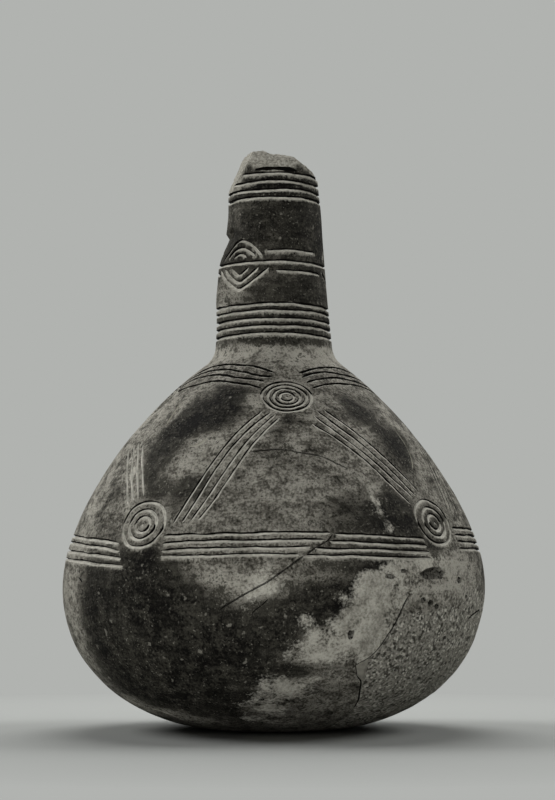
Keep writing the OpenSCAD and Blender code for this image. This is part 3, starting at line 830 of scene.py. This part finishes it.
# Height of the foot of the lower sherds, height of the far end of the right one, and how far back it goes
SHERD_FOOT_Z = 9.7
CORNER_TOP_Z = 50.7
CORNER_BACK = 8
PANEL_TOP = jagged([[-8.3, 112.7], [-0.3, 113.7], [4.9, 113.5], [8.6, 112.5], [15.8, 111.2], [22.8, 107.4],
                    [26.4, 104.5], [28.8, 101.3], [30.2, 94.6], [31.7, 89.2], [34.0, 83.1], [34.5, 81.7]])
PANEL_FOOT = jagged([[34.5, 81.7], [16, 81.7]], 0.2)
PANEL_LEFT = jagged([[16, 81.7], [-21.5, 81.7], [-18, 89.2], [-13.5, 99.7], [-8.3, 112.7]], 0.2)
FRONT_RIGHT = jagged([[34.5, 81.7], [36.5, 72.7], [40, 63.7], [36.7, 55.7]], 0.2)
JOIN_RIGHT = jagged([[36.7, 55.7], [34.9, 50.6], [33.1, 44.3], [31, 39.1], [29.3, 34.9], [27.1, 31.8]])
JOIN_CHIP = jagged([[27.1, 31.8], [23.8, 29.2], [25.3, 25], [27.8, 22.5]])
CHIP_BACK = jagged([[27.8, 22.5], [27.7, 27], [27.1, 31.8]])
JOIN_FOOT = jagged([[27.8, 22.5], [29.5, 17.7], [32, 13.2], [33, SHERD_FOOT_Z]])
FRONT_FOOT = [[33, SHERD_FOOT_Z], [-20, SHERD_FOOT_Z]]
FRONT_LOW = jagged([[-20, SHERD_FOOT_Z], [-18, 24.7], [-17, 39.7], [-14.1, 50.9]], 0.2)
FRONT_LEFT = jagged([[-14.1, 50.9], [-9.6, 55.2], [-3.8, 60.2], [-0.3, 63.3], [6.8, 71], [9.6, 73.7],
                     [14.3, 77.6], [15.9, 80.3], [16, 81.7]])
SIDE_CRACK = jagged([[-1.3, 55.6], [-3, 53], [-6.1, 49]])
CORNER_TOP = jagged([[70, 49.7], [56, 52.7], [44, 56.7], [36.7, 55.7]], 0.2)


def outlined(*edges):
    """Edges joined to one outline seen from the front, in millimetres, without doubled corners."""
    points = []
    for edge in edges:
        for az, z in edge:
            p = (skin_r(z) * sin(radians(az)), z)
            if not points or dist(points[-1], p) > 0.01:
                points.append(p)
    if dist(points[0], points[-1]) < 0.01:
        points.pop()
    return points


def prism(name, outline, back):
    """Closed prism from an outline seen from the front, from the depth back to before the vase."""
    obj = primitive(bpy.ops.mesh.primitive_circle_add, name, vertices=len(outline), radius=MM,
                    fill_type="NGON")
    shifted(obj, np.array([[x, back, z] for x, z in outline]))
    edit_all()
    bpy.ops.mesh.extrude_region_move(TRANSFORM_OT_translate={"value": (0, -(REACH + back) * MM, 0)})
    bpy.ops.mesh.select_all(action="SELECT")
    bpy.ops.mesh.quads_convert_to_tris()
    faced_out()
    return obj


front_edges = outlined(PANEL_FOOT[::-1], FRONT_RIGHT, JOIN_RIGHT, JOIN_CHIP, JOIN_FOOT, FRONT_FOOT,
                       FRONT_LOW, FRONT_LEFT)
corner_side = [(REACH, SHERD_FOOT_Z), (REACH, CORNER_TOP_Z)]
corner_edges = outlined(JOIN_RIGHT, CHIP_BACK[::-1], JOIN_FOOT) + corner_side + outlined(CORNER_TOP)[:-1]
prisms = {
    "front_panel_sherd": prism("panel", outlined(PANEL_TOP, PANEL_FOOT, PANEL_LEFT), 0),
    "lower_front_sherd": prism("lower_front", front_edges, 0),
    "gap_fill": prism("chip", outlined(JOIN_CHIP, CHIP_BACK), 0),
    "lower_right_sherd": prism("corner", corner_edges, CORNER_BACK),
}

# Visible cracks along the sherds as [path, share of the width], and where the one over the panel ends
PANEL_CRACK_END = 25
panel_crack = [point for point in PANEL_TOP if point[0] < PANEL_CRACK_END]
CRACKS = [[FRONT_LEFT[:-1], 1.15], [panel_crack, 1.15], [JOIN_RIGHT + JOIN_CHIP[1:] + JOIN_FOOT[1:], 1.3]]
SIDE_CRACKS = [[SIDE_CRACK, 0.8], [CHIP_BACK[1:-1], 0.7]]
# The floors of the cracks carry painted shade, which makes them dark
cracks = []
for listed in (CRACKS, SIDE_CRACKS):
    cracks.append(tubes("crack", [drawn(path, CRACK_R * share, sink=CRACK_SINK, tremble=0, straight=True)
                                  for path, share in listed]))

# Break at the mouth: planes as [azimuth they fall towards, slope, distance from the axis, height from top]
BREAK = [
    [0, 45, 10.5, -1.2], [90, 14, -1.5, -0.4], [90, 37, 8.3, -3.1], [90, 50, 15.6, -8.6], [-80, 64, 13, -5],
    [180, 20, 10, 0],
]
# Lumps on the break as [size, depth], and the grid that is laid on it: steps, width and rise
BREAK_LUMPS = [[5, 0.8], [1.6, 0.35]]
BREAK_STEPS = 96
BREAK_WIDE = 56
BREAK_RISE = 40


def break_height(places):
    """Height of the break over each place."""
    height = np.full(len(places), HEIGHT)
    for az, slope, away, below in BREAK:
        out = np.array([sin(radians(az)), -cos(radians(az))])
        fall = (places[:, :2] @ out - away) * tan(radians(slope))
        height = np.minimum(height, HEIGHT + below - fall)
    return height


def broken_off():
    """Everything above the break: a fine grid laid on the planes, roughened and drawn up."""
    obj = primitive(bpy.ops.mesh.primitive_grid_add, "broken_off", x_subdivisions=BREAK_STEPS,
                    y_subdivisions=BREAK_STEPS, size=BREAK_WIDE * MM, location=(0, 0, 0))
    places = coords(obj)
    height = break_height(places)
    for seed, (size, depth) in enumerate(BREAK_LUMPS, 11):
        height -= depth * np.abs(grain(places, size, seed))
    places[:, 2] = height
    shifted(obj, places)
    edit_all()
    bpy.ops.mesh.extrude_region_move(TRANSFORM_OT_translate={"value": (0, 0, BREAK_RISE * MM)})
    faced_out()
    return obj


break_tool = broken_off()
tools = {node: tubes("tool_" + node, noted(found)) for node, found in strokes.items()}

# Clay: the skin with its lines cut, hollowed and broken
for tool in tools.values():
    cut(skin, tool)
marks = [tubes("scars", scars), tubes("scratches", scratches, mark="scratch"), scoops(CHIPS)]
for mark in cracks + marks:
    cut(skin, mark)
cavity = spun("cavity", section(WALL, HEIGHT + CAVITY_OVER, CAVITY_ROW), CAVITY_STEPS)
cut(skin, cavity)
cut(skin, break_tool)

pieces = {}
over_rim = above("over_rim", RIM_Z)
over_neck = above("over_neck", NECK_Z)
tenon_ends = [RIM_Z - OVER, HEIGHT + OVER]
tenon = spun("tenon", [(0, tenon_ends[0]), (TENON_R, tenon_ends[0]), (TENON_R, tenon_ends[1]),
                       (0, tenon_ends[1])], CAVITY_STEPS)
neck_room = cut(copied(over_neck, "neck_room"), tenon, "UNION")

upper = cut(copied(skin, "upper"), over_rim, "INTERSECT")
pieces["neck"] = cut(copied(upper, "clay_neck"), neck_room, "INTERSECT")
pieces["luting_collar"] = cut(copied(upper, "clay_collar"), neck_room)
lower = cut(skin, over_rim)
for node, room in prisms.items():
    pieces[node] = cut(copied(lower, "clay_" + node), room, "INTERSECT")
for room in prisms.values():
    cut(lower, room)
lower.name = "clay_body"
pieces["body"] = lower

# Lime paste: what is left on the lower wall of the lines, and how many times more of it some of them hold
PASTE_FILL = {
    "left_stripe_inlay_front": 2.5, "right_stripe_inlay_left": 1.8, "right_stripe_inlay_front": 2.4,
    "upper_disc_inlay_front": 1.8, "waist_disc_inlay_front_left": 1.8, "waist_disc_inlay_front_right": 1.7,
    "waist_band_inlay_left": 1.5, "waist_band_inlay_front": 1.15, "shoulder_band_inlay_front_left": 1.5,
    "shoulder_band_inlay_front_right": 1.4,
}
for node, tool in tools.items():
    paste = cut(copied(tool, "paste_" + node.replace("_inlay", "")), core, "INTERSECT")
    if node == "neck_top_band_inlay":
        cut(paste, break_tool)
    if node == "waist_band_inlay_front":
        cut(paste, cracks[0])
    room = tubes("room", strokes[node], PASTE_FILL.get(node, 1.0))
    cut(paste, room)
    removed(room)
    pieces[node] = paste
removed(core, cavity, break_tool, over_rim, over_neck, tenon, neck_room, upper)
removed(*tools.values(), *prisms.values(), *cracks, *marks)

line_tree = KDTree(len(line_points))
for index, place in enumerate(line_points):
    line_tree.insert(place, index)
line_tree.balance()


# Wear and painted highlight along the lines: reach and heights of the pale lower lip, partly worn and
# partly painted highlight, from the middle of the cut, and reach of the ridges between lines, the heights
# where they end at the neck, and how far they are rubbed
LIP_REACH = [0.85, 1.35]
LIP_BELOW = [0.1, -0.5]
RIDGE_REACH = [1.5, 2.4]
RIDGE_TOP = [148, 153]
RIDGE_RUB = 0.2
# Broken clay: by depth under the skin, by distance from the break, and where the skin of the neck came off
BROKEN_DEPTH = [2.4, 3.2]
BREAK_NEAR = [2.0, 1.2]
SPALL_Z = [221.5, 224]
SPALL_RIGHT = [-44, -50]
SPALL_LEFT = [-125, -110]


def worn_and_highlighted(piece):
    """Write the wear of the skin, and the wear and painted highlight of the lower lips of the lines, on the
    vertices of a piece.
    """
    places = coords(piece)
    values = wear(places)
    away = np.empty(len(places))
    rise = np.empty(len(places))
    for i, place in enumerate(places):
        near, _, far = line_tree.find(Vector(place) * MM)
        away[i] = far / MM
        rise[i] = place[2] - near.z / MM
    values["lip_wear_and_highlight"] = (1 - smooth(away, *LIP_REACH)) * smooth(rise, *LIP_BELOW)
    ridge = (1 - smooth(away, *RIDGE_REACH)) * (1 - smooth(places[:, 2], *RIDGE_TOP))
    values["rub_and_highlight"] = np.maximum(values["rub_and_highlight"], RIDGE_RUB * ridge)
    values["soot"] = values["soot"] * (1 - RIDGE_RUB * ridge)
    inside = np.interp(places[:, 2], profile[:, 1], profile[:, 0]) - np.hypot(places[:, 0], places[:, 1])
    inside -= flake_depth(places)
    at_break = smooth(np.abs(places[:, 2] - break_height(places)), *BREAK_NEAR)
    az = azimuth(places)
    spall = smooth(places[:, 2], *SPALL_Z) * smooth(az, *SPALL_RIGHT) * smooth(az, *SPALL_LEFT)
    values["broken"] = np.maximum.reduce([smooth(inside, *BROKEN_DEPTH), at_break, spall])
    for name, amount in values.items():
        layer = piece.data.attributes.new(name, "FLOAT", "POINT")
        layer.data.foreach_set("value", amount.astype(np.float32))


# Materials

def colour(code):
    """Linear colour of an sRGB hex value."""
    parts = [int(code[i:i + 2], 16) / 255 for i in (1, 3, 5)]
    return [c / 12.92 if c <= 0.04045 else ((c + 0.055) / 1.055) ** 2.4 for c in parts] + [1.0]


def per(size):
    """Pattern scale for a feature of the given size in millimetres."""
    return 1 / (size * MM)


def add_node(tree, kind, sockets=None, out=0, **settings):
    """Add a node, set it, set or link its sockets, and give back one of its outputs."""
    made = tree.nodes.new(kind)
    for name, value in settings.items():
        setattr(made, name, value)
    for socket, value in (sockets or {}).items():
        if isinstance(value, bpy.types.NodeSocket):
            tree.links.new(value, made.inputs[socket])
        else:
            made.inputs[socket].default_value = value
    return made.outputs[out] if made.outputs else None


def cleared(owner):
    """Clear the nodes of a material or a world, and give back what adds nodes to it."""
    owner.use_nodes = True
    owner.node_tree.nodes.clear()
    return partial(add_node, owner.node_tree)


# Roughness of bare clay, chalk and paste
MATT = 0.92
# How far the streaks are drawn out round the vase
STREAK_LONG = 4
# Patterns of the clay: size in millimetres, detail, roughness
CLAY_PATTERNS = {
    "cloud": [28, 4, 0.5], "mottle": [6, 7, 0.62], "fine": [1.1, 4, 0.66], "point": [0.9, 1, 0.5],
    "flake": [3.4, 3, 0.5], "streak": [9, 5, 0.5],
}
# Loose grains in the clay: size in millimetres
CLAY_GRAINS = {"grit": 0.9, "pores": 1.3}
WEAR_AND_PAINTED_LIGHT = ["soot", "chalk", "bare", "rub_and_highlight", "lip_wear_and_highlight", "broken", "cut_shade", "scratch"]
# Parts of the skin: weights of what makes each one, where its sum starts and ends, and how far it then goes
CLAY_PARTS = {
    "crowd": [{"mottle": 1}, 0.4, 0.6, 1],
    "coarse": [{"fine": 1}, 0.36, 0.64, 1],
    "dusty": [{"mottle": 0.5, "fine": 0.5}, 0.4, 0.6, 1],
    "tone": [{"cloud": 1, "mottle": 2.6, "fine": 2.8, "streak": 1, "rub_and_highlight": 0.6}, 3.1, 4.3, 1],
    "smoke_tone": [{"tone": 1}, 0.3, 1, 1],
    "sooty": [{"soot": 1, "mottle": 3, "fine": 1.8}, 2.73, 2.95, 0.97],
    "flaked_off": [{"flake": 1}, 0.67, 0.72, 0.55],
    "speck": [{"point": 1}, 0.66, 0.73, 0.75],
    "pale_grain": [{"grit": 1}, 0.74, 0.82, 0.9],
    "dark_grain": [{"pores": 1}, 0.33, 0.22, 0.75],
    "bare_part": [{"bare": 1, "mottle": 0.8}, 0.75, 1, 1],
    # The pale lower lip of each line: partly worn clay, partly painted highlight where light from above
    # falls
    "lip_wear_and_highlight_part": [{"lip_wear_and_highlight": 1, "fine": 2}, 1.35, 2, 0.8],
    "chalk_part": [{"chalk": 1.25, "mottle": 1.7, "fine": 1.3, "streak": 0.3}, 2.03, 2.5, 0.92],
    # Painted shade on the floors of cut lines, cracks, scars and chips
    "cut_shade_part": [{"cut_shade": 1, "fine": 1.2}, 0.72, 1.08, 1],
}
# Colours that run from one tone to another along a part
CLAY_TONES = {
    "smoke": ["smoke_tone", "#0c0b0a", "#403e37"], "grains": ["coarse", "#53514a", "#aca99e"],
    "dust": ["dusty", "#807d73", "#cbc8bc"], "fracture": ["coarse", "#706d64", "#b9b6aa"],
}
CLAY_GRAIN_COLOURS = {"dark_grain": "#26241f", "pale_grain": "#cbc8bc"}
# What lies over the slip, and the painted highlight and painted shade, from the lowest layer up: the part
# that it covers and its colour
CLAY_LAYERS = {
    "sooty": "smoke", "flaked_off": "#98958a", "speck": "#98958a", "bare_part": "grains",
    # The lower lip's colour is partly worn clay and partly painted highlight
    "lip_wear_and_highlight_part": "#b1aea2", "chalk_part": "dust", "broken": "fracture", "scratch": "#b5b2a6",
    # Painted shade, nearly black, on the floors of cuts
    "cut_shade_part": "#0d0c0a",
}
# How high each pattern stands in the bump, beside the pale grains of bare clay
CLAY_RELIEF = {"streak": 0.3, "mottle": 0.9, "fine": 1.0, "dark_grain": -0.4}


def earthenware(name, pale, mid, dark, shine):
    """Low-fired clay under a burnished slip: dark and slightly shiny where the slip is whole, smoke-stained
    in clouds, flaked, and matt, pale and gritty where the slip is lost. Painted shade darkens the floors of
    cuts, and painted highlight the lower lips of lines."""
    made = bpy.data.materials.new(name)
    add = cleared(made)
    at = add("ShaderNodeTexCoord", out="Object")
    round_vase = add("ShaderNodeMapping", {"Vector": at, "Scale": (1, 1, STREAK_LONG)})
    found = {}
    for key, (size, detail, roughness) in CLAY_PATTERNS.items():
        place = round_vase if key == "streak" else at
        found[key] = add("ShaderNodeTexNoise", {"Vector": place, "Scale": per(size), "Detail": detail,
                                                "Roughness": roughness})
    for key, size in CLAY_GRAINS.items():
        found[key] = add("ShaderNodeTexVoronoi", {"Vector": at, "Scale": per(size)}, "Color")
    for key in WEAR_AND_PAINTED_LIGHT:
        found[key] = add("ShaderNodeAttribute", out="Fac", attribute_name=key)
    for key, (weights, low, high, most) in CLAY_PARTS.items():
        total = 0.0
        for part, weight in weights.items():
            total = add("ShaderNodeMath", {0: found[part], 1: weight, 2: total}, operation="MULTIPLY_ADD")
        found[key] = add("ShaderNodeMapRange", {"Value": total, "From Min": low, "From Max": high,
                                                "To Max": most})
    found["speck"] = add("ShaderNodeMath", {0: found["speck"], 1: found["crowd"]}, operation="MULTIPLY")
    for key, (part, low, high) in CLAY_TONES.items():
        found[key] = add("ShaderNodeMix", {0: found[part], 6: colour(low), 7: colour(high)}, 2,
                         data_type="RGBA")
    for part, tint in CLAY_GRAIN_COLOURS.items():
        found["grains"] = add("ShaderNodeMix", {0: found[part], 6: found["grains"], 7: colour(tint)}, 2,
                              data_type="RGBA")

    face = add("ShaderNodeValToRGB", {"Fac": found["tone"]})
    ramp = face.node.color_ramp.elements
    ramp[0].color = colour(dark)
    ramp[1].color = colour(pale)
    ramp.new(0.5).color = colour(mid)
    for part, tint in CLAY_LAYERS.items():
        tint = colour(tint) if tint.startswith("#") else found[tint]
        face = add("ShaderNodeMix", {0: found[part], 6: face, 7: tint}, 2, data_type="RGBA")

    matt = add("ShaderNodeMath", {0: found["bare_part"], 1: found["chalk_part"]}, operation="MAXIMUM")
    gloss = add("ShaderNodeMapRange", {"Value": matt, "To Min": shine, "To Max": MATT})
    gloss = add("ShaderNodeMath", {0: found["mottle"], 1: 0.16, 2: gloss}, operation="MULTIPLY_ADD")
    relief = add("ShaderNodeMath", {0: found["pale_grain"], 1: found["bare_part"]}, operation="MULTIPLY")
    for part, weight in CLAY_RELIEF.items():
        relief = add("ShaderNodeMath", {0: found[part], 1: weight, 2: relief}, operation="MULTIPLY_ADD")
    bump = add("ShaderNodeBump", {"Height": relief, "Strength": 0.8, "Distance": 0.75 * MM})
    clay = add("ShaderNodeBsdfPrincipled", {"Base Color": face, "Roughness": gloss, "Normal": bump,
                                            "IOR": 1.5, "Specular IOR Level": 0.05})
    add("ShaderNodeOutputMaterial", {"Surface": clay})
    return made


def mineral(name, light, dirt, size, relief):
    """Soft white mineral, pressed or poured: matt, chalky, with dirt in its pores."""
    made = bpy.data.materials.new(name)
    add = cleared(made)
    at = add("ShaderNodeTexCoord", out="Object")
    pores = add("ShaderNodeTexNoise", {"Vector": at, "Scale": per(size), "Detail": 5})
    broad = add("ShaderNodeTexNoise", {"Vector": at, "Scale": per(9), "Detail": 3})
    both = add("ShaderNodeMath", {0: pores, 1: broad}, operation="ADD")
    part = add("ShaderNodeMapRange", {"Value": both, "From Min": 0.72, "From Max": 1.2})
    face = add("ShaderNodeMix", {0: part, 6: colour(dirt), 7: colour(light)}, 2, data_type="RGBA")
    bump = add("ShaderNodeBump", {"Height": pores, "Strength": 0.7, "Distance": relief * MM})
    body = add("ShaderNodeBsdfPrincipled", {"Base Color": face, "Roughness": MATT, "Normal": bump,
                                            "IOR": 1.5})
    add("ShaderNodeOutputMaterial", {"Surface": body})
    return made


FINISHES = {
    "burnished_clay": earthenware("burnished_earthenware", "#aba89d", "#625f57", "#201f1a", 0.72),
    "faded_clay": earthenware("faded_earthenware", "#aba89d", "#67645c", "#282721", 0.76),
    "gritty_clay": earthenware("gritty_earthenware", "#aeaba0", "#6e6b62", "#2e2d28", 0.8),
    "lime_paste": mineral("lime_paste", "#dad7cb", "#98958a", 1.3, 0.3),
    "plaster": mineral("plaster_fill", "#8f8c81", "#67645b", 2.0, 0.3),
}
SLOTS = {
    "body": "burnished_clay", "neck": "burnished_clay", "lower_front_sherd": "burnished_clay",
    "front_panel_sherd": "faded_clay", "luting_collar": "faded_clay", "lower_right_sherd": "gritty_clay",
    "gap_fill": "plaster",
}

for node, piece in pieces.items():
    slot = SLOTS.get(node, "lime_paste")
    piece.data.materials.clear()
    piece.data.materials.append(FINISHES[slot])
    if slot.endswith("clay"):
        worn_and_highlighted(piece)
    activate(piece)
    bpy.ops.object.shade_smooth_by_angle(angle=radians(SMOOTH_ANGLE))
    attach(piece, "root")
    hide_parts(node)

# Camera: at belly height, tilted up and turned a little, in degrees
TILT = 92.902
TURN = -0.0696
camera = placed("camera", bpy.data.cameras.new("camera"))
camera.data.lens = 129.6
camera.data.sensor_width = 36
camera.location = (0, -1.2, 0.0757)
camera.rotation_euler = (radians(TILT), 0, radians(TURN))
bpy.context.scene.camera = camera

# Stage: a pale floor that runs into the pale background between two distances from the axis, in metres
PALE = "#b1b3b0"
PAPER = "#a5a7a4"
ROOM = "#dcdddc"
ROOM_STRENGTH = 0.1
FLOOR_R = 4
FLOOR_FADE = [0.14, 0.3]
# Lights: place and width in metres, power in watts. All look at one point of the vase.
LIGHTS = {
    "sky_light": [(0.0, 0.8, 1.25), 0.9, 15],
    "front_wall": [(-0.35, -1.8, 0.26), 1.2, 21],
    "left_wall": [(-1.05, 0.55, 0.9), 0.8, 12],
    "right_wall": [(1.05, 0.55, 0.9), 0.8, 9.5],
}
LIGHT_AIM = (0, 0, 0.1)


def looked_at(add):
    """1 for rays that come from the camera, straight, by a gloss or through glass."""
    path = add("ShaderNodeLightPath").node.outputs
    seen = path["Is Camera Ray"]
    for kind in ("Is Glossy Ray", "Is Transmission Ray"):
        seen = add("ShaderNodeMath", {0: seen, 1: path[kind]}, operation="MAXIMUM")
    return seen


def studio():
    """The floor and the room round it. Gives back the floor."""
    floor = primitive(bpy.ops.mesh.primitive_circle_add, "floor", vertices=96, radius=FLOOR_R,
                      fill_type="NGON", location=(0, 0, 0))
    made = bpy.data.materials.new("pale_paper_floor")
    add = cleared(made)
    at = add("ShaderNodeTexCoord", out="Object")
    away = add("ShaderNodeVectorMath", {0: at}, "Value", operation="LENGTH")
    far = add("ShaderNodeMapRange", {"Value": away, "From Min": FLOOR_FADE[0], "From Max": FLOOR_FADE[1]})
    seen = add("ShaderNodeMath", {0: far, 1: looked_at(add)}, operation="MULTIPLY")
    paper = add("ShaderNodeBsdfDiffuse", {"Color": colour(PAPER)})
    glow = add("ShaderNodeEmission", {"Color": colour(PALE)})
    both = add("ShaderNodeMixShader", {0: seen, 1: paper, 2: glow})
    add("ShaderNodeOutputMaterial", {"Surface": both})
    floor.data.materials.append(made)

    world = bpy.data.worlds.new("pale_room")
    add = cleared(world)
    room = add("ShaderNodeBackground", {"Color": colour(ROOM), "Strength": ROOM_STRENGTH})
    back = add("ShaderNodeBackground", {"Color": colour(PALE)})
    both = add("ShaderNodeMixShader", {0: looked_at(add), 1: room, 2: back})
    add("ShaderNodeOutputWorld", {"Surface": both})
    bpy.context.scene.world = world
    return floor


def soft_light(name, place, size, power):
    """A round area light."""
    lamp = bpy.data.lights.new(name, "AREA")
    lamp.shape = "DISK"
    lamp.size = size
    lamp.energy = power
    obj = placed(name, lamp)
    obj.location = place
    obj.rotation_euler = (Vector(LIGHT_AIM) - Vector(place)).to_track_quat("-Z", "Y").to_euler()
    return obj


def flagged(light, shaded):
    """Keep a light off an object, as a flag does in a studio."""
    kept_off = bpy.data.collections.new("behind_flag")
    kept_off.objects.link(shaded)
    kept_off.collection_objects[0].light_linking.link_state = "EXCLUDE"
    light.light_linking.receiver_collection = kept_off


floor = studio()
lights = {name: soft_light(name, *listed) for name, listed in LIGHTS.items()}
flagged(lights["front_wall"], floor)

bpy.context.scene.view_settings.view_transform = "Standard"
